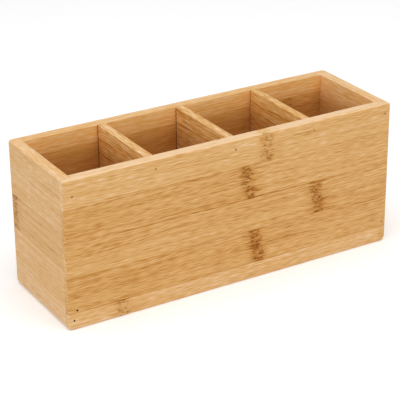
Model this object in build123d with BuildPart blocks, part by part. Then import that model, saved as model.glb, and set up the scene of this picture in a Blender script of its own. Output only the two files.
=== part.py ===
"""A long, narrow, open-topped bamboo box with four compartments.

Two long boards are rebated over the ends of two side boards. Three thinner dividers butt between the
long boards and stand on the floor board, which sits in a groove cut all round. Brads through the long
boards hold the side boards and the dividers, and the box is sanded after it is put together.

Millimetres. X runs along the box, Y from front to back, Z up. The origin is under the middle of the box,
on the surface that it stands on.
"""
import os

from build123d import *

# Outside
LENGTH = 250.0
DEPTH = 80.0
HEIGHT = 104.0

# Boards
WALL = 8.0  # long boards and side boards
DIVIDER = 6.0
COMPARTMENTS = 4

# Corner joint: the long boards keep this much of their thickness over the side boards' ends
LIP = 3.5

# Floor board, and the groove that holds it
FLOOR = 4.0
FLOOR_CLEARANCE_BELOW = 4.0
GROOVE_DEPTH = 3.0
GROOVE_SLACK = 0.3

# Sanding
BOTTOM_END_RADIUS = 4.0  # under the two ends
FRONT_EDGE_RADIUS = 1.6  # round the front's upright and bottom edges, in one pass
BACK_EDGE_RADIUS = 3.5  # the same round the back
TOP_EDGE_RADIUS = 1.2
BAY_EDGE_RADIUS = 0.5
DIVIDER_END_BEVEL = 0.5  # planed on the dividers' upright edges before they went in

# Brads
BRAD_RADIUS = 0.6
BRAD_HEAD_RADIUS = 0.8
BRAD_HEAD_THICKNESS = 0.7
BRAD_LENGTH = 18.0
BRAD_POINT_LENGTH = 2.0
BRAD_POINT_RADIUS = 0.15
BRAD_SINK = 0.6  # the heads sit this far below the board's face

# Worked out from the above
BAY_DEPTH = DEPTH - 2 * WALL
INNER_LENGTH = LENGTH - 2 * WALL
BAY_LENGTH = (INNER_LENGTH - (COMPARTMENTS - 1) * DIVIDER) / COMPARTMENTS
BAY_PITCH = BAY_LENGTH + DIVIDER
FLOOR_TOP = FLOOR_CLEARANCE_BELOW + FLOOR
SIDE_BOARD_LENGTH = DEPTH - 2 * LIP
SIDE_BOARD_X = (LENGTH - WALL) / 2
BRAD_SHANK = BRAD_LENGTH - BRAD_HEAD_THICKNESS - BRAD_POINT_LENGTH

FRONT = -1
BACK = 1
LEFT = -1
RIGHT = 1

# Where the brads are, as (across, height), seen by someone who looks at that face of the box.
# They were nailed by eye: three in the front's left end, one in each divider and two in its right end.
DIVIDER_BRAD_HEIGHT = HEIGHT - 6.5
FRONT_BRADS = (
    (-LENGTH / 2 + 6.5, HEIGHT - 11.4),
    (-LENGTH / 2 + 6.6, 13.5),
    (-LENGTH / 2 + 4.2, 6.7),
    (-BAY_PITCH + 0.6, DIVIDER_BRAD_HEIGHT),
    (0.0, DIVIDER_BRAD_HEIGHT),
    (BAY_PITCH + 1.6, DIVIDER_BRAD_HEIGHT),
    (LENGTH / 2 - 4.6, HEIGHT - 6.8),
    (LENGTH / 2 - 3.6, 15.4),
)
BACK_BRADS = (
    (-LENGTH / 2 + 4.4, HEIGHT - 7.0),
    (-LENGTH / 2 + 4.4, 11.0),
    (-BAY_PITCH - 0.5, DIVIDER_BRAD_HEIGHT),
    (0.3, DIVIDER_BRAD_HEIGHT),
    (BAY_PITCH - 0.4, DIVIDER_BRAD_HEIGHT),
    (LENGTH / 2 - 4.8, HEIGHT - 7.5),
    (LENGTH / 2 - 4.6, 12.0),
)
BRADS = {FRONT: FRONT_BRADS, BACK: BACK_BRADS}


def outer_face(side):
    """The front or back face of the box: its X runs to the right for someone who looks at it, its Y up."""
    return Plane(origin=(0, side * DEPTH / 2, 0), x_dir=(-side, 0, 0), z_dir=(0, side, 0))


def drill_for_shanks():
    """Cuts the brads' shank holes, from both long faces, into the board being made."""
    for side in (FRONT, BACK):
        with Locations(outer_face(side)):
            with Locations(*BRADS[side]):
                Hole(radius=BRAD_RADIUS, depth=BRAD_SINK + BRAD_LENGTH)


def save(piece, name):
    """Labels a finished piece and writes it."""
    piece.part.label = name
    export_step(piece.part, f"parts/{name}.step")


os.makedirs("parts", exist_ok=True)

# The box as it is after sanding, as one block with four bays. Each board keeps what lies inside it.
with BuildPart() as sanded_box:
    with BuildSketch():
        Rectangle(LENGTH, DEPTH)
    extrude(amount=HEIGHT)
    fillet(sanded_box.faces().sort_by(Axis.Z)[0].edges().filter_by(Axis.Y), BOTTOM_END_RADIUS)
    fillet(sanded_box.edges().filter_by(Axis.Z).group_by(Axis.Y)[0], FRONT_EDGE_RADIUS)
    fillet(sanded_box.edges().filter_by(Axis.Z).group_by(Axis.Y)[-1], BACK_EDGE_RADIUS)
    fillet(sanded_box.faces().sort_by(Axis.Z)[-1].edges(), TOP_EDGE_RADIUS)
    with BuildSketch(Plane.XY.offset(FLOOR_TOP)):
        with GridLocations(BAY_PITCH, 0, COMPARTMENTS, 1):
            Rectangle(BAY_LENGTH, BAY_DEPTH)
    extrude(amount=HEIGHT, mode=Mode.SUBTRACT)
    fillet(sanded_box.faces().sort_by(Axis.Z)[-1].inner_wires().edges(), BAY_EDGE_RADIUS)

# Long boards, front and back: a rebate at each end, the groove for the floor, and holes for the brads.
for name, side in (("front_panel", FRONT), ("back_panel", BACK)):
    with BuildPart() as long_board:
        with BuildSketch():
            with Locations((0, side * (DEPTH - LIP) / 2)):
                Rectangle(LENGTH, LIP)
            with Locations((0, side * (DEPTH - WALL) / 2)):
                Rectangle(INNER_LENGTH, WALL)
        extrude(amount=HEIGHT)
        with BuildSketch(Plane.XY.offset(FLOOR_CLEARANCE_BELOW)):
            Rectangle(INNER_LENGTH, BAY_DEPTH + 2 * GROOVE_DEPTH)
        extrude(amount=FLOOR, mode=Mode.SUBTRACT)
        add(sanded_box.part, mode=Mode.INTERSECT)
        with Locations(outer_face(side)):
            with Locations(*BRADS[side]):
                CounterBoreHole(
                    radius=BRAD_RADIUS,
                    counter_bore_radius=BRAD_HEAD_RADIUS,
                    counter_bore_depth=BRAD_SINK + BRAD_HEAD_THICKNESS,
                    depth=BRAD_SINK + BRAD_LENGTH,
                )
    save(long_board, name)

# Side boards: their ends stop at the long boards' lips, and their groove runs right through.
for name, side in (("left_side", LEFT), ("right_side", RIGHT)):
    with BuildPart() as side_board:
        with BuildSketch():
            with Locations((side * SIDE_BOARD_X, 0)):
                Rectangle(WALL, SIDE_BOARD_LENGTH)
        extrude(amount=HEIGHT)
        with BuildSketch(Plane.XY.offset(FLOOR_CLEARANCE_BELOW)):
            Rectangle(INNER_LENGTH + 2 * GROOVE_DEPTH, SIDE_BOARD_LENGTH)
        extrude(amount=FLOOR, mode=Mode.SUBTRACT)
        add(sanded_box.part, mode=Mode.INTERSECT)
        drill_for_shanks()
    save(side_board, name)

# Dividers
for name, place in (("divider_left", -1), ("divider_middle", 0), ("divider_right", 1)):
    with BuildPart() as divider:
        with BuildSketch(Plane.XY.offset(FLOOR_TOP)):
            with Locations((place * BAY_PITCH, 0)):
                Rectangle(DIVIDER, BAY_DEPTH)
        extrude(amount=HEIGHT - FLOOR_TOP)
        chamfer(divider.edges().filter_by(Axis.Z), DIVIDER_END_BEVEL)
        add(sanded_box.part, mode=Mode.INTERSECT)
        drill_for_shanks()
    save(divider, name)

# Floor board, a little short of the bottom of its groove so that it can swell
with BuildPart() as base_panel:
    with BuildSketch(Plane.XY.offset(FLOOR_CLEARANCE_BELOW)):
        tongue = GROOVE_DEPTH - GROOVE_SLACK
        Rectangle(INNER_LENGTH + 2 * tongue, BAY_DEPTH + 2 * tongue)
    extrude(amount=FLOOR)
save(base_panel, "base_panel")

# Brads: a flat head, a shank and a point, one group for each long board
inward_from_here = (Align.CENTER, Align.CENTER, Align.MAX)
for name, side in (("front_brads", FRONT), ("back_brads", BACK)):
    head_plane = outer_face(side).offset(-BRAD_SINK)
    shank_plane = head_plane.offset(-BRAD_HEAD_THICKNESS)
    point_plane = shank_plane.offset(-BRAD_SHANK)
    with BuildPart() as brads:
        with Locations(head_plane):
            with Locations(*BRADS[side]):
                Cylinder(BRAD_HEAD_RADIUS, BRAD_HEAD_THICKNESS, align=inward_from_here)
        with Locations(shank_plane):
            with Locations(*BRADS[side]):
                Cylinder(BRAD_RADIUS, BRAD_SHANK, align=inward_from_here)
        with Locations(point_plane):
            with Locations(*BRADS[side]):
                Cone(BRAD_POINT_RADIUS, BRAD_RADIUS, BRAD_POINT_LENGTH, align=inward_from_here)
    save(brads, name)
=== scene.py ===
"""Looks for the four-compartment bamboo box: laminated bamboo boards, dark brads, a white studio.

Every board keeps its CAD shape. What makes it bamboo is a solid texture in the box's own millimetres:
glued strips with their own tones, wavy fibres, knuckles where the cane had its joints, dotted end grain,
glue lines, dark joints between boards with painted shade in the bays' corners, rims sanded pale with a
painted highlight, and edges worn by sanding. Painted light and shade inside the bays make their faces
brighter near the top and darker and more orange deeper down.
"""

import math
import random
from collections import namedtuple

import bpy
from mathutils import Euler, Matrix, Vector


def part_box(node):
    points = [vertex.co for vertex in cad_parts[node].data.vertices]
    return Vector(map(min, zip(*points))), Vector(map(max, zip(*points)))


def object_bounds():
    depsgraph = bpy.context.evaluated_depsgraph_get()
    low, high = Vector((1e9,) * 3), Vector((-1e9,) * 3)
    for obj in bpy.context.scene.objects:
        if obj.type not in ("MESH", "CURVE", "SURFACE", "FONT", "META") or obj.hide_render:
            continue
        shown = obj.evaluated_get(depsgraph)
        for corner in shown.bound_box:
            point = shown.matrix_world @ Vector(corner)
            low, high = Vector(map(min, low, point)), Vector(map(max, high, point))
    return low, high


MM = 0.001
X, Y, Z = 0, 1, 2

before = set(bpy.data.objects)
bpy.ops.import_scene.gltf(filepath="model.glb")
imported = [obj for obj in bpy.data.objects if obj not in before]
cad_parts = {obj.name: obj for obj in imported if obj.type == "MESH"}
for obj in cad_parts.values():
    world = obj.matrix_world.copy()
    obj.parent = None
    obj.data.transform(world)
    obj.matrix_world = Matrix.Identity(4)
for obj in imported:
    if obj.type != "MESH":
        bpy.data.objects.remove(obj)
cad_low, cad_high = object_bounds()

# ---- Sizes in millimetres, read from the frame ----
HALF_LENGTH = cad_high.x / MM
HALF_DEPTH = cad_high.y / MM
HEIGHT = cad_high.z / MM
SIDE_LOW, SIDE_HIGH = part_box("right_side")
SIDE_INNER_X = SIDE_LOW.x / MM  # inner face of a side board
SIDE_END_Y = SIDE_HIGH.y / MM  # where a side board stops at a long board's lip
DIVIDER_LOW, DIVIDER_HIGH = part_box("divider_middle")
DIVIDER_HALF = DIVIDER_HIGH.x / MM
BAY_HALF_DEPTH = DIVIDER_HIGH.y / MM
DIVIDER_PITCH = (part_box("divider_right")[0].x - DIVIDER_LOW.x) / MM


# ---- Camera and studio, in metres and degrees ----
CAMERA_PLACE = (-0.4872, -0.8129, 0.4834)
CAMERA_YAW = 30.75
CAMERA_PITCH = 24.77
CAMERA_ROLL = -0.53
LENS_MM = 138.0
SENSOR_MM = 36.0
CLIP_START = 0.05
CLIP_END = 20.0

WORLD_STRENGTH = 0.50
BOX_MIDDLE = (0.0, 0.0, 0.05)
Softbox = namedtuple("Softbox", "name place size watts")
SOFTBOXES = (
    Softbox("top_softbox", (-0.24, -0.22, 1.5), 1.4, 14.6),
    Softbox("right_softbox", (0.58, -1.0, 1.43), 0.9, 3.6),
    Softbox("left_softbox", (-1.05, -1.35, 0.61), 1.0, 1.4),
)

FLOOR_SIZE = 12.0
FLOOR_DARKEST = (0.90, 0.90, 0.90)
FLOOR_LIGHTEST = (0.92, 0.92, 0.92)
FLOOR_MOTTLES_PER_METRE = 40.0
FLOOR_ROUGHNESS = 0.9
FLOOR_GLOW = 0.17  # it shines a little, so that it is as white as the background


def make_camera():
    """A long lens at the front left, a little above the box."""
    yaw, pitch, roll = (math.radians(a) for a in (CAMERA_YAW, CAMERA_PITCH, CAMERA_ROLL))
    data = bpy.data.cameras.new("camera")
    data.sensor_width = SENSOR_MM
    data.lens = LENS_MM
    data.clip_start = CLIP_START
    data.clip_end = CLIP_END
    camera = bpy.data.objects.new("camera", data)
    camera.location = CAMERA_PLACE
    aim = Euler((math.pi / 2 - pitch, 0.0, -yaw)).to_matrix()
    tilt = Euler((0.0, 0.0, roll)).to_matrix()
    camera.rotation_euler = (aim @ tilt).to_euler()
    bpy.context.scene.collection.objects.link(camera)
    bpy.context.scene.camera = camera


def make_light(softbox):
    """A square softbox that faces the box's middle."""
    data = bpy.data.lights.new(softbox.name, "AREA")
    data.shape = "SQUARE"
    data.size = softbox.size
    data.energy = softbox.watts
    light = bpy.data.objects.new(softbox.name, data)
    light.location = softbox.place
    direction = Vector(BOX_MIDDLE) - Vector(softbox.place)
    light.rotation_euler = direction.to_track_quat("-Z", "Y").to_euler()
    bpy.context.scene.collection.objects.link(light)


def make_studio():
    """A white world, softboxes and a white floor."""
    scene = bpy.context.scene
    scene.view_settings.view_transform = "Standard"
    world = bpy.data.worlds.new("studio")
    world.use_nodes = True
    background = world.node_tree.nodes["Background"]
    background.inputs["Color"].default_value = (1.0, 1.0, 1.0, 1.0)
    background.inputs["Strength"].default_value = WORLD_STRENGTH
    scene.world = world
    for softbox in SOFTBOXES:
        make_light(softbox)

    bpy.ops.mesh.primitive_plane_add(size=FLOOR_SIZE, location=(0.0, 0.0, 0.0))
    floor = bpy.context.object
    floor.name = "floor"
    n = Nodes("white_floor")
    mottles = n.noise(n.position(per_metre=1.0), FLOOR_MOTTLES_PER_METRE, detail=2.0)
    tone = n.mix(mottles, FLOOR_DARKEST, FLOOR_LIGHTEST)
    glow = {"Emission Color": (1.0, 1.0, 1.0), "Emission Strength": FLOOR_GLOW}
    n.surface(tone, FLOOR_ROUGHNESS, **glow)
    floor.data.materials.append(n.material)


# ---- Materials: a few helpers ----
def srgb(red, green, blue):
    """A colour in the 0 to 255 numbers that people quote, as the linear values that Blender uses."""
    def linear(v):
        v = v / 255.0
        return v / 12.92 if v <= 0.04045 else ((v + 0.055) / 1.055) ** 2.4
    return (linear(red), linear(green), linear(blue))


class Value:
    """A number that varies over the surface. Sums and products of Values make the nodes for them."""

    def __init__(self, nodes, socket):
        self.nodes = nodes
        self.socket = socket

    def __add__(self, other):
        return self.nodes.math("ADD", self, other)

    __radd__ = __add__

    def __sub__(self, other):
        return self.nodes.math("SUBTRACT", self, other)

    def __rsub__(self, other):
        return self.nodes.math("SUBTRACT", other, self)

    def __mul__(self, other):
        return self.nodes.math("MULTIPLY", self, other)

    __rmul__ = __mul__

    def __truediv__(self, other):
        return self.nodes.math("DIVIDE", self, other)

    def __abs__(self):
        return self.nodes.math("ABSOLUTE", self)

    def least(self, other):
        return self.nodes.math("MINIMUM", self, other)

    def most(self, other):
        return self.nodes.math("MAXIMUM", self, other)

    def below(self, limit):
        return self.nodes.math("LESS_THAN", self, limit)

    def above(self, limit):
        return self.nodes.math("GREATER_THAN", self, limit)

    def ramp(self, start, end, low=0.0, high=1.0):
        """Goes smoothly from low, where this is start, to high, where it is end."""
        return self.nodes.ramp(self, start, end, low, high)


class Nodes:
    """A material's node tree, built by short calls."""

    def __init__(self, name):
        self.material = bpy.data.materials.new(name)
        self.material.use_nodes = True
        self.tree = self.material.node_tree
        self.tree.nodes.clear()

    def feed(self, socket, value):
        """Links a value to a socket, or sets the socket to a constant."""
        if isinstance(value, Value):
            value = value.socket
        if isinstance(value, bpy.types.NodeSocket):
            self.tree.links.new(value, socket)
        elif socket.type == "RGBA":
            socket.default_value = (*value[:3], 1.0)
        else:
            socket.default_value = value

    def make(self, kind, inputs, **settings):
        node = self.tree.nodes.new(kind)
        for key, value in settings.items():
            setattr(node, key, value)
        for key, value in inputs.items():
            self.feed(node.inputs[key], value)
        return node

    def math(self, operation, a, b=0.0):
        node = self.make("ShaderNodeMath", {0: a, 1: b}, operation=operation)
        return Value(self, node.outputs[0])

    def ramp(self, value, start, end, low, high):
        inputs = {"Value": value, "From Min": start, "From Max": end, "To Min": low, "To Max": high}
        node = self.make("ShaderNodeMapRange", inputs, interpolation_type="SMOOTHSTEP")
        return Value(self, node.outputs["Result"])

    def vector(self, operation, a, b, c=(0.0, 0.0, 0.0)):
        node = self.make("ShaderNodeVectorMath", {0: a, 1: b, 2: c}, operation=operation)
        return node.outputs[0]

    def split(self, vector):
        node = self.make("ShaderNodeSeparateXYZ", {0: vector})
        return [Value(self, out) for out in node.outputs]

    def join(self, x, y, z):
        return self.make("ShaderNodeCombineXYZ", {0: x, 1: y, 2: z}).outputs[0]

    def position(self, per_metre=1.0 / MM):
        """The place on the piece, from the middle of the box's footprint, in millimetres by default."""
        place = self.make("ShaderNodeTexCoord", {}).outputs["Object"]
        return self.vector("MULTIPLY", place, (per_metre, per_metre, per_metre))

    def noise(self, place, scale, detail=2.0, roughness=0.5):
        inputs = {"Vector": place, "Scale": scale, "Detail": detail, "Roughness": roughness}
        return Value(self, self.make("ShaderNodeTexNoise", inputs).outputs["Fac"])

    def cells(self, place):
        """A random cell pattern: the distance to the nearest cell's middle, and that cell's chance."""
        node = self.make("ShaderNodeTexVoronoi", {"Vector": place, "Scale": 1.0, "Randomness": 1.0})
        return Value(self, node.outputs["Distance"]), self.split(node.outputs["Color"])[0]

    def mix(self, factor, a, b):
        """Colour a where the factor is 0, colour b where it is 1."""
        node = self.make("ShaderNodeMix", {}, data_type="RGBA")
        # The node has inputs of the same names for each data type, so they go by their numbers
        for index, value in ((0, factor), (6, a), (7, b)):
            self.feed(node.inputs[index], value)
        return node.outputs[2]

    def palette(self, factor, stops):
        """A colour for each value: stops are (value, colour)."""
        node = self.make("ShaderNodeValToRGB", {"Fac": factor})
        elements = node.color_ramp.elements
        while len(elements) < len(stops):
            elements.new(0.5)
        for element, (place, colour) in zip(elements, stops):
            element.position = place
            element.color = (*colour, 1.0)
        return node.outputs["Color"]

    def surface(self, colour, roughness, height=None, relief=0.0, **constants):
        """Joins a Principled shader to the output. relief is the height's full range in millimetres."""
        inputs = {"Base Color": colour, "Roughness": roughness, **constants}
        if height is not None:
            bump_inputs = {"Height": height, "Distance": relief * MM, "Strength": 1.0}
            inputs["Normal"] = self.make("ShaderNodeBump", bump_inputs).outputs["Normal"]
        shader = self.make("ShaderNodeBsdfPrincipled", inputs)
        self.make("ShaderNodeOutputMaterial", {"Surface": shader.outputs["BSDF"]})


# ---- Bamboo: its colours ----
# They are as they look on the front face, so they are divided by how brightly that is lit.
FRONT_LIGHT = 0.97
PALE = srgb(229, 194, 153)
CREAM = srgb(219, 173, 112)
HONEY = srgb(203, 151, 83)
CARAMEL = srgb(178, 116, 36)
UMBER = srgb(144, 78, 2)
SPOT = srgb(118, 62, 4)
# The dark joints' colour, also used for the painted shade in the gaps of the bays' corners
JOINT_AND_GAP_SHADE = srgb(52, 22, 6)
SHADES = ((0.0, PALE), (0.2, CREAM), (0.5, HONEY), (0.75, CARAMEL), (1.0, UMBER))  # by darkness

# Painted light and shade inside the bays: near the top their faces are painted brighter, where more
# light comes in, and deeper down darker and more orange, as light that goes from board to board comes
# out more orange the deeper it went. These are the factors on the colour there against the outside, and
# how far below the box's top each is reached.
BAY_TOP_PAINTED_LIGHT = (1.42, 1.41, 1.25)
BAY_TOP_PAINTED_LIGHT_DEPTH = 3.0
BAY_DEEP_PAINTED_SHADE = (0.92, 0.78, 0.60)
BAY_DEEP_PAINTED_SHADE_DEPTH = 24.0
BAY_PAINTED_LIGHT_STARTS = (0.1, 0.5)  # below the top, so that the rims stay as they are
BAY_MARGIN = 0.1


def reflecting(colour):
    """The reflectance that looks like this colour on the front face."""
    return tuple(v / FRONT_LIGHT for v in colour)


# ---- Bamboo: its strips ----
# A strip: its width, how dark it is at the board's two ends (0 to 1), where its knuckle is along the
# board, how strong that knuckle is, and how far it leans along the board from the strip's top to its
# bottom.
Strip = namedtuple("Strip", "width start end knuckle strength lean")
# A stain: a streak in the fibres, from start to end along the board, at one height. It is darker than
# the strip, or paler where its strength is negative.
Stain = namedtuple("Stain", "start end height width strength")

FAR_AWAY = 900.0  # the place of a knuckle that a strip doesn't have


def plain(width, tone):
    """A strip without a knuckle."""
    return Strip(width, tone, tone, FAR_AWAY, 0.0, 0.0)


FRONT_STRIPS = (
    Strip(20.0, 0.35, 0.35, 24.0, 0.72, 1.0),
    Strip(24.0, 0.51, 0.41, 9.5, 1.00, 4.0),
    Strip(23.5, 0.45, 0.44, 65.0, 1.00, 5.0),
    Strip(24.5, 0.53, 0.44, 16.0, 1.00, 4.0),
    Strip(12.0, 0.27, 0.27, -86.0, 0.70, 1.0),
)
FRONT_STAINS = (
    Stain(-95.0, 20.0, 63.0, 4.0, 0.19),
    Stain(-50.0, 0.0, 82.5, 1.6, 0.26),
    Stain(-48.0, 2.0, 73.0, 4.5, 0.08),
    Stain(-160.0, 160.0, 30.0, 7.0, 0.05),
    Stain(-160.0, 160.0, 16.5, 4.0, -0.12),
    Stain(-60.0, 70.0, 59.0, 2.0, 0.08),
    Stain(-50.0, 60.0, 43.5, 3.5, -0.10),
    Stain(-80.0, 60.0, 100.0, 3.5, -0.10),
    Stain(-128.0, -50.0, 14.2, 0.8, 0.22),
    Stain(8.0, 70.0, 80.5, 1.8, 0.14),
    Stain(20.0, 60.0, 24.0, 2.2, 0.14),
    Stain(117.5, 124.5, 6.5, 4.5, 0.35),
)
BACK_STRIPS = (
    plain(12.5, 0.26),
    Strip(24.0, 0.46, 0.44, 88.0, 0.60, -2.0),
    Strip(24.0, 0.38, 0.44, -42.0, 0.90, 3.0),
    Strip(24.5, 0.44, 0.36, 31.0, 1.00, -3.0),
    Strip(19.0, 0.34, 0.30, -97.0, 0.60, 2.0),
)
BACK_STAINS = (
    Stain(-90.0, 10.0, 45.0, 3.0, 0.25),
    Stain(20.0, 120.0, 61.0, 2.0, 0.22),
    Stain(-60.0, 60.0, 97.0, 2.5, 0.12),
)
LEFT_STRIPS = (
    plain(12.0, 0.27),
    plain(24.5, 0.25),
    Strip(24.5, 0.35, 0.37, 33.0, 0.75, 0.0),
    plain(24.5, 0.26),
    plain(18.5, 0.18),
)
LEFT_STAINS = (
    Stain(-30.0, 30.0, 47.0, 3.0, 0.10),
    Stain(-16.0, 16.0, 86.0, 0.9, 0.26),
    Stain(-32.0, -4.0, 49.5, 0.9, 0.24),
)
RIGHT_STRIPS = (
    plain(18.0, 0.20),
    Strip(24.5, 0.22, 0.26, -12.0, 0.80, 2.0),
    plain(24.5, 0.36),
    Strip(24.0, 0.26, 0.24, 20.0, 0.60, -2.0),
    plain(13.0, 0.22),
)
RIGHT_STAINS = (
    Stain(-36.0, 10.0, 50.0, 2.5, 0.18),
)
BASE_STRIPS = (
    plain(13.0, 0.40),
    Strip(22.0, 0.46, 0.42, -70.0, 0.8, 2.0),
    Strip(22.0, 0.38, 0.40, 38.0, 0.7, -2.0),
    plain(13.0, 0.44),
)
NARROWEST, WIDEST = 4.0, 7.0  # of strips stood on edge
NARROW_TONE_RANGE = 0.07


def narrow_strips(total, seed, tone):
    """Strips stood on edge: many narrow ones, each with a tone near the given one."""
    chance = random.Random(seed)
    strips = []
    while sum(s.width for s in strips) < total:
        width = chance.uniform(NARROWEST, WIDEST)
        strips.append(plain(width, tone + chance.uniform(-NARROW_TONE_RANGE, NARROW_TONE_RANGE)))
    return tuple(strips)


# ---- Bamboo: its fibres ----
# A noise: how long its lumps are along the fibres, how high and how deep, in millimetres, how many
# finer layers it has, and how strong those are.
Lumps = namedtuple("Lumps", "length height depth detail roughness", defaults=(0.5,))
# The fibres wander and ripple, and swirl round a knuckle. The reach is how far that moves them.
WANDER, WANDER_REACH = Lumps(110.0, 30.0, 30.0, 1.0), 4.0
RIPPLE, RIPPLE_REACH = Lumps(16.0, 8.0, 8.0, 1.0), 1.1
SWIRL, SWIRL_REACH = Lumps(14.0, 9.0, 9.0, 1.0), 3.4
SWIRL_LEAD = 8.0  # how far before the knuckle it is strongest
SWIRL_FADE = (36.0, 6.0)  # from the distance where it starts to that where it is full
SWIRL_KNUCKLES = (0.0, 0.5)  # the knuckle strengths that have none of it and all of it
# Tones that follow the fibres, and how much each counts. CLOUD doesn't follow them.
BROAD, BROAD_WEIGHT = Lumps(90.0, 6.0, 9.0, 2.0, 0.55), 0.06
STREAK, STREAK_WEIGHT = Lumps(55.0, 1.1, 2.2, 0.0), 0.44
HAIR, HAIR_WEIGHT = Lumps(7.0, 0.65, 0.9, 0.0), 0.72
CLOUD, CLOUD_WEIGHT = Lumps(60.0, 20.0, 20.0, 2.0), 0.12
LINES_MIDDLE = 0.09  # what the lines come to on average, which isn't part of the strip's tone
# Fibre bundles: their length and width, and the share there are of all that there is room for
Bundles = namedtuple("Bundles", "length width share")
COARSE, COARSE_WEIGHT = Bundles(60.0, 0.9, 0.42), 0.18
FINE, FINE_WEIGHT = Bundles(24.0, 0.75, 0.50), 0.20
FINE_SHIFT = 50.0  # moves them away from the coarse ones
BUNDLE_FADE = (0.55, 0.10)  # from a bundle's rim to its middle
SHARE_SOFTNESS = 0.1
STAIN_CORE = 0.4  # the share of a stain's length over which it is full
STAIN_GRAIN = (0.7, 2.0)  # a stain's evenness, and how much it follows the streaks
# Each board, and each strip in it, has its own place in the noises, along the fibres and in depth.
BOARD_SHIFT, STRIP_SHIFT = 11.0, 37.0
BOARD_DEPTH, STRIP_DEPTH = 3.0, 9.0

# ---- Bamboo: its knuckles, glue lines, end grain and worn edges ----
# Distances are in millimetres from the knuckle's middle: where a mark starts, and where it is full.
RAGGED, RAGGED_REACH = Lumps(6.0, 3.0, 3.0, 2.0), 6.0
BAND_FADE, BAND_DARKNESS = (6.5, 1.5), 0.07
HALO_FADE, HALO_DARKNESS = (13.0, 2.0), 0.14
CLOTS, CLOT_EDGE, CLOT_DARKNESS = Lumps(3.4, 2.2, 2.2, 1.0), (0.46, 0.60), 0.16
TRAIL_FADE, TRAIL_START, TRAIL_DARKNESS = (19.0, 3.0), (-9.0, 0.0), 0.26
THREADS = Bundles(18.0, 1.4, 0.55)
THREADS_SHIFT = 40.0  # moves them away from the other bundles
SPOT_LENGTH, SPOT_HEIGHT, SPOT_DEPTH, SPOT_LEAN = 2.6, 1.5, 1.6, 0.35
SPOT_CHANCE = (0.20, 0.55)  # the cells' chances that have no spot and a full one
SPOT_FADE = (0.70, 0.25)  # from a spot's rim to its middle
SPOT_COVER = 0.75
SPOT_SANDED = 0.6  # the share of it that sanding took from the rims

GLUE_FADE = (0.6, 0.1)  # from the glue line
GLUE_PATCH_LENGTH, GLUE_PATCH_EDGE = 30.0, (0.38, 0.52)
GLUE_DARKNESS = 0.23

END_GRAIN_FACING = (0.75, 0.97)  # how squarely a face looks along the fibres to show end grain
DOTS_PER_MM, DOT_STRETCH, DOT_ROUGHNESS, DOT_EDGE = 1.6, 0.05, 0.6, (0.46, 0.60)
PATCH_HEIGHT, PATCH_DEPTH, PATCH_EDGE = 14.0, 9.0, (0.42, 0.60)
END_GRAIN_FOOT = (45.0, 8.0)  # heights above the table between which it gets darker downwards
DOT_DARKNESS, PATCH_DARKNESS, FOOT_DARKNESS, END_GRAIN_PALENESS = 0.12, 0.20, 0.20, 0.32

# The rim: sanded pale, and painted with a highlight on its top face
RIM_FACING = (0.5, 0.95)  # how squarely a face looks up to be part of the rim
RIM_DEPTH = 2.0
WORN_FACING = (0.995, 0.80)  # how squarely a flat face, and a fully worn edge, look along an axis
WORN_PALENESS = 0.05

# How rough the wood is, and how much rougher each mark is
WOOD_ROUGHNESS = 0.45
STREAK_ROUGHNESS, SPOT_ROUGHNESS, WORN_ROUGHNESS = 0.20, 0.15, 0.08
END_GRAIN_ROUGHNESS, SEAM_ROUGHNESS = 0.12, 0.4
# The face's height, and how far each mark stands out of it or lies in it, as shares of the relief
RELIEF_MM = 0.06
FACE_HEIGHT, STREAK_HEIGHT, HAIR_HEIGHT = 0.6, 0.5, 0.3
COARSE_DEPTH, GLUE_DEPTH, SPOT_PIT_DEPTH = 0.15, 0.5, 0.4
MATT = {"Specular IOR Level": 0.2}


def by_strip(n, across, edges, values):
    """A vector that takes each strip's own value: edges are the strips' lower edges."""
    result = values[0]
    for edge, above, below in zip(edges, values, values[1:]):
        change = tuple(b - a for a, b in zip(above, below))
        result = n.vector("MULTIPLY_ADD", across.below(edge).socket, change, result)
    return n.split(result)


def lumpy(n, a, b, c, lumps):
    """A noise from 0 to 1, mostly near 0.5."""
    place = n.join(a / lumps.length, b / lumps.height, c / lumps.depth)
    return n.noise(place, 1.0, lumps.detail, lumps.roughness)


def wavering(n, a, b, c, lumps):
    """The same noise from -0.5 to 0.5, mostly near 0."""
    return lumpy(n, a, b, c, lumps) - 0.5


def bundled(n, a, b, c, bundles):
    """Fibre bundles: long lens-shaped dashes along the grain."""
    place = n.join(a / bundles.length, b / bundles.width, c / bundles.width)
    distance, chance = n.cells(place)
    none = 1.0 - bundles.share
    return chance.ramp(none, none + SHARE_SOFTNESS) * distance.ramp(*BUNDLE_FADE)


def stained(n, a, b, stains, grain):
    """Long soft stains that follow the fibres."""
    total = 0.0
    for stain in stains:
        middle, reach = (stain.start + stain.end) / 2, (stain.end - stain.start) / 2
        lengthwise = abs(a - middle).ramp(reach, reach * STAIN_CORE)
        total = total + lengthwise * abs(b - stain.height).ramp(stain.width, 0.0) * stain.strength
    return total * grain


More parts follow.
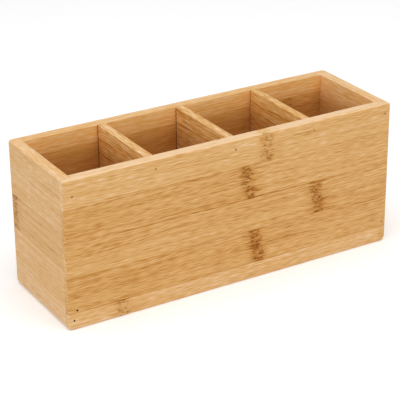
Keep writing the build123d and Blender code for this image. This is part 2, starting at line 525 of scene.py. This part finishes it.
def knuckled(n, darkness, own, b, inside, fibre, offset, strength):
    """Adds a knuckle to the darkness, and gives the dark spots in it as well.

    The knuckle is a ragged band across the strip, with a halo round it, dark clots in it and stained
    fibres that trail from it. offset is how far the point is from the knuckle's middle.
    """
    offset = offset + wavering(n, own, b, inside, RAGGED) * RAGGED_REACH
    band = abs(offset).ramp(*BAND_FADE) * strength
    place = n.join((own + b * SPOT_LEAN) / SPOT_LENGTH, b / SPOT_HEIGHT, inside / SPOT_DEPTH)
    nearness, chance = n.cells(place)
    spots = band * chance.ramp(*SPOT_CHANCE) * nearness.ramp(*SPOT_FADE)
    clots = lumpy(n, own, b, inside, CLOTS).ramp(*CLOT_EDGE)
    halo = abs(offset).ramp(*HALO_FADE) * strength
    trail = offset.ramp(*TRAIL_FADE) * offset.ramp(*TRAIL_START) * strength
    threads = bundled(n, own, fibre + THREADS_SHIFT, inside, THREADS)
    darkness = darkness + halo * HALO_DARKNESS
    darkness = darkness + band * (BAND_DARKNESS + clots * CLOT_DARKNESS)
    darkness = darkness + trail * threads * TRAIL_DARKNESS
    return darkness, spots


def glue_lines(n, own, b, edges, seed):
    """Thin lines between the strips, darker in some places than in others."""
    gap = abs(b - edges[0])
    for edge in edges[1:]:
        gap = gap.least(abs(b - edge))
    patches = n.noise(n.join(own / GLUE_PATCH_LENGTH, seed, 0.0), 1.0).ramp(*GLUE_PATCH_EDGE)
    return gap.ramp(*GLUE_FADE) * patches


def end_grain_darkness(n, a, b, c, z, seed):
    """Dots of fibre bundles, patches, and a darker foot, all on a paler ground."""
    place = n.join(b, c, a * DOT_STRETCH)
    dots = n.noise(place, DOTS_PER_MM, detail=2.0, roughness=DOT_ROUGHNESS).ramp(*DOT_EDGE)
    patchy = n.noise(n.join(b / PATCH_HEIGHT, c / PATCH_DEPTH, seed), 1.0).ramp(*PATCH_EDGE)
    foot = z.ramp(*END_GRAIN_FOOT)
    marks = dots * DOT_DARKNESS + patchy * PATCH_DARKNESS + foot * FOOT_DARKNESS
    return marks - END_GRAIN_PALENESS


def bay_painted_light_and_shade(n, colour, x, y, z):
    """The colour with painted light and shade, where the point is on one of the bays' faces."""
    in_bay = abs(x).below(SIDE_INNER_X + BAY_MARGIN) * abs(y).below(BAY_HALF_DEPTH + BAY_MARGIN)
    in_bay = in_bay * z.ramp(*(HEIGHT - depth for depth in BAY_PAINTED_LIGHT_STARTS))
    change = tuple(high - low for high, low in zip(BAY_TOP_PAINTED_LIGHT, BAY_DEEP_PAINTED_SHADE))
    height = z.ramp(HEIGHT - BAY_DEEP_PAINTED_SHADE_DEPTH, HEIGHT - BAY_TOP_PAINTED_LIGHT_DEPTH)
    # Painted light near the top and painted shade deeper down, as factors on the colour
    painted_factor = n.vector("MULTIPLY_ADD", height.socket, change, BAY_DEEP_PAINTED_SHADE)
    return n.mix(in_bay, colour, n.vector("MULTIPLY", colour, painted_factor))


def bamboo(name, along, across, top, strips, stains, seed, seams, rim_paleness=0.0, contrast=1.0):
    """Laminated bamboo with its fibres along one axis and its strips stacked down another.

    along and across are axes, and top is where the first strip starts. seams is a function that gives
    how dark a joint between boards is at a point, from 0 to 1, with painted shade in the bays' corners.
    """
    n = Nodes(name)
    place = n.split(n.position())
    a, b, c = place[along], place[across], place[X + Y + Z - along - across]
    normal = n.split(n.make("ShaderNodeNewGeometry", {}).outputs["True Normal"])

    edges = []
    for strip in strips:
        edges.append((edges[-1] if edges else top) - strip.width)
    inner_edges = edges[:-1]
    tones = [((s.start + s.end) / 2, (s.end - s.start) / 2, s.strength) for s in strips]
    knuckles = [(s.knuckle, edge + s.width / 2, s.lean / s.width) for s, edge in zip(strips, edges)]
    canes = [(seed * BOARD_SHIFT + i * STRIP_SHIFT, seed * BOARD_DEPTH + i * STRIP_DEPTH, 0.0)
             for i in range(len(strips))]
    tone, drift, strength = by_strip(n, b, inner_edges, tones)
    knuckle, centre, lean = by_strip(n, b, inner_edges, knuckles)
    shift, depth, _ = by_strip(n, b, inner_edges, canes)
    half_board = HALF_LENGTH if along == X else HALF_DEPTH
    tone = tone + drift * (a / half_board)

    # Each strip is from a cane of its own, so its fibres are its own
    own = a + shift
    inside = c + depth
    offset = a - knuckle + (b - centre) * lean
    wander = wavering(n, own, b, inside, WANDER) * WANDER_REACH
    ripple = wavering(n, own, b, inside, RIPPLE) * RIPPLE_REACH
    swirl = wavering(n, own, b, inside, SWIRL) * SWIRL_REACH
    near_knuckle = abs(offset + SWIRL_LEAD).ramp(*SWIRL_FADE)
    fibre = b + wander + ripple + swirl * near_knuckle * strength.ramp(*SWIRL_KNUCKLES)

    broad = wavering(n, own, fibre, inside, BROAD)
    streak = wavering(n, own, fibre, inside, STREAK)
    hair = wavering(n, own, fibre, inside, HAIR)
    cloud = wavering(n, own, b, inside, CLOUD)
    coarse = bundled(n, own, fibre, inside, COARSE)
    fine = bundled(n, own + FINE_SHIFT, fibre, inside, FINE)
    lines = coarse * COARSE_WEIGHT + fine * FINE_WEIGHT + streak * STREAK_WEIGHT + hair * HAIR_WEIGHT
    grain = (broad * BROAD_WEIGHT + lines - LINES_MIDDLE) * contrast
    evenness, following = STAIN_GRAIN
    darkness = tone + cloud * CLOUD_WEIGHT + grain
    darkness = darkness + stained(n, a, fibre, stains, evenness + streak * following)
    darkness, spots = knuckled(n, darkness, own, b, inside, fibre, offset, strength)
    glue = glue_lines(n, own, b, inner_edges, seed)
    darkness = darkness + glue * GLUE_DARKNESS
    end_grain = abs(normal[along]).ramp(*END_GRAIN_FACING)
    darkness = darkness + end_grain * end_grain_darkness(n, a, b, c, place[Z], seed)

    # Rims are sanded pale and painted with a highlight on their top faces, and arrises are sanded pale
    rim = normal[Z].ramp(*RIM_FACING) * place[Z].above(HEIGHT - RIM_DEPTH)
    worn = abs(normal[X]).most(abs(normal[Y])).most(abs(normal[Z])).ramp(*WORN_FACING)
    darkness = darkness - rim * rim_paleness - worn * WORN_PALENESS
    colour = n.palette(darkness, [(value, reflecting(shade)) for value, shade in SHADES])
    cover = spots * (1.0 - rim * SPOT_SANDED) * SPOT_COVER
    colour = n.mix(cover, colour, reflecting(SPOT))
    # Painted light and shade inside the bays
    colour = bay_painted_light_and_shade(n, colour, *place)
    # Dark joints between boards, with painted shade in the bays' corners
    seam_and_shade = seams(n, *place)
    colour = n.mix(seam_and_shade, colour, reflecting(JOINT_AND_GAP_SHADE))

    roughness = WOOD_ROUGHNESS + streak * STREAK_ROUGHNESS + spots * SPOT_ROUGHNESS
    roughness = roughness + worn * WORN_ROUGHNESS + end_grain * END_GRAIN_ROUGHNESS
    roughness = roughness + seam_and_shade * SEAM_ROUGHNESS
    height = FACE_HEIGHT + streak * STREAK_HEIGHT + hair * HAIR_HEIGHT
    height = height - coarse * COARSE_DEPTH - glue * GLUE_DEPTH - spots * SPOT_PIT_DEPTH - seam_and_shade
    n.surface(colour, roughness, height, relief=RELIEF_MM, **MATT)
    return n.material


# ---- Joints between boards: how dark each is, from 0 to 1, with painted shade in the bays' corners ----
SEAM = 0.22  # half the width of a joint's dark line
OUTER_SEAM_DARKNESS = 0.12  # those round the side boards' ends are glued tight
# The bays' upright corners: dark joints with painted shade in their gaps, from the left divider to the
# right side
LEFT_CORNER_JOINT_AND_SHADE = 0.95
RIGHT_CORNER_JOINT_AND_SHADE = 0.25
CORNER_RIM_SHARE = 0.2  # what sanding left of them on the rim
CORNER_RIM_DEPTHS = (0.3, 1.5)  # below the top, from that share to all of it
# Painted shade on the dividers' ends, where they meet the long boards, and how it fades
DIVIDER_BEVEL_FADE = (0.75, 0.25)
BASE_SEAM_FADE = (0.8, 0.1)
OUT_OF_REACH = 10.0  # far further than any joint's line is wide


def bay_corner_joint_and_shade(x, z):
    """The upright joints in the bays' corners, dark lines with painted shade in their gaps: the left
    divider's gapes most, and the rim is sanded.
    """
    darkness = x.ramp(-DIVIDER_PITCH, SIDE_INNER_X, LEFT_CORNER_JOINT_AND_SHADE, RIGHT_CORNER_JOINT_AND_SHADE)
    sanded, full = (HEIGHT - depth for depth in CORNER_RIM_DEPTHS)
    return darkness * z.ramp(sanded, full, CORNER_RIM_SHARE, 1.0)


def side_joint(x, y):
    """How far a point is from the outline of a side board's footprint, outside the bays."""
    outline = (SIDE_INNER_X - abs(x)).most(abs(y) - SIDE_END_Y)
    return abs(outline) + abs(y).below(BAY_HALF_DEPTH - BAY_MARGIN) * OUT_OF_REACH


def side_board_seams(n, x, y, z):
    return side_joint(x, y).ramp(SEAM, 0.0) * OUTER_SEAM_DARKNESS


def long_board_seams_and_shade(n, x, y, z):
    # Dark joints, with painted shade in the bays' upright corners
    near_divider = abs(n.math("PINGPONG", x, DIVIDER_PITCH / 2))
    divider_joint = abs((near_divider - DIVIDER_HALF).most(abs(y) - BAY_HALF_DEPTH))
    bay_corners = divider_joint.ramp(SEAM, 0.0) * bay_corner_joint_and_shade(x, z)
    return bay_corners.most(side_board_seams(n, x, y, z))


def divider_seams_and_shade(n, x, y, z):
    # Dark joint and painted shade along a divider's ends
    bevel = abs(abs(y) - BAY_HALF_DEPTH).ramp(*DIVIDER_BEVEL_FADE)
    return bevel * bay_corner_joint_and_shade(x, z)


def base_seams(n, x, y, z):
    long_gap = abs(abs(y) - BAY_HALF_DEPTH)
    side_gap = abs(abs(x) - SIDE_INNER_X)
    return long_gap.least(side_gap).ramp(*BASE_SEAM_FADE)


# ---- Brads ----
STEEL_DARKEST, STEEL_LIGHTEST = srgb(38, 20, 8), srgb(66, 38, 16)
DUST_DARKEST, DUST_LIGHTEST = srgb(172, 122, 62), srgb(210, 156, 92)
SCRATCHES_PER_MM = 3.0
SCRATCH_RANGE = (0.3, 0.7)
BRAD_ROUGHNESSES = (0.6, 0.8)
BRAD_RELIEF_MM = 0.02
DUSTY_X, DUSTY_Z = (-110.0, -100.0), (20.0, 30.0)  # dust is right of the one or above the other


def brad_steel():
    """Dull brown steel of a brad's head at the bottom of its pit.

    Sanding dust fills all the pits but those low at the box's left end.
    """
    n = Nodes("brad_steel_look")
    x, _, z = n.split(n.position())
    scratch = n.noise(n.position(), SCRATCHES_PER_MM, detail=3.0)
    steel = n.palette(scratch, tuple(zip(SCRATCH_RANGE, (STEEL_DARKEST, STEEL_LIGHTEST))))
    dust = n.palette(scratch, tuple(zip(SCRATCH_RANGE, (DUST_DARKEST, DUST_LIGHTEST))))
    dusty = x.ramp(*DUSTY_X).most(z.ramp(*DUSTY_Z))
    roughness = scratch.ramp(*SCRATCH_RANGE, *BRAD_ROUGHNESSES)
    n.surface(n.mix(dusty, steel, dust), roughness, scratch, relief=BRAD_RELIEF_MM, **MATT)
    return n.material


# ---- Which board is made of what ----
# The rim's paleness is how pale sanding and a painted highlight leave the board's rim, and contrast how
# strong its fibres' lines are.
Board = namedtuple("Board", "node along strips stains seams rim_paleness contrast")
BOARDS = (
    Board("front_panel", X, FRONT_STRIPS, FRONT_STAINS, long_board_seams_and_shade, 0.31, 0.90),
    Board("back_panel", X, BACK_STRIPS, BACK_STAINS, long_board_seams_and_shade, 0.03, 0.75),
    Board("left_side", Y, LEFT_STRIPS, LEFT_STAINS, side_board_seams, 0.11, 0.65),
    Board("right_side", Y, RIGHT_STRIPS, RIGHT_STAINS, side_board_seams, 0.05, 0.75),
    Board("divider_left", Y, narrow_strips(HEIGHT, 20, 0.37), (), divider_seams_and_shade, 0.10, 1.45),
    Board("divider_middle", Y, narrow_strips(HEIGHT, 21, 0.38), (), divider_seams_and_shade, 0.02, 1.5),
    Board("divider_right", Y, narrow_strips(HEIGHT, 22, 0.44), (), divider_seams_and_shade, 0.04, 1.3),
)
BASE_SEED = 9.0


def dress(node, material):
    """Gives a CAD node its finished material."""
    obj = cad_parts[node]
    if not obj.data.materials:
        obj.data.materials.append(material)
    for slot in obj.material_slots:
        slot.material = material


def dress_box():
    """Gives every board its bamboo, and the brads their steel."""
    for seed, board in enumerate(BOARDS, start=1):
        look = bamboo(board.node + "_bamboo", board.along, Z, HEIGHT, board.strips, board.stains,
                      float(seed), board.seams, board.rim_paleness, board.contrast)
        dress(board.node, look)
    base_edge = sum(strip.width for strip in BASE_STRIPS) / 2
    look = bamboo("base_panel_bamboo", X, Y, base_edge, BASE_STRIPS, (), BASE_SEED, base_seams)
    dress("base_panel", look)
    for node in ("front_brads", "back_brads"):
        dress(node, brad_steel())


make_camera()
make_studio()
dress_box()
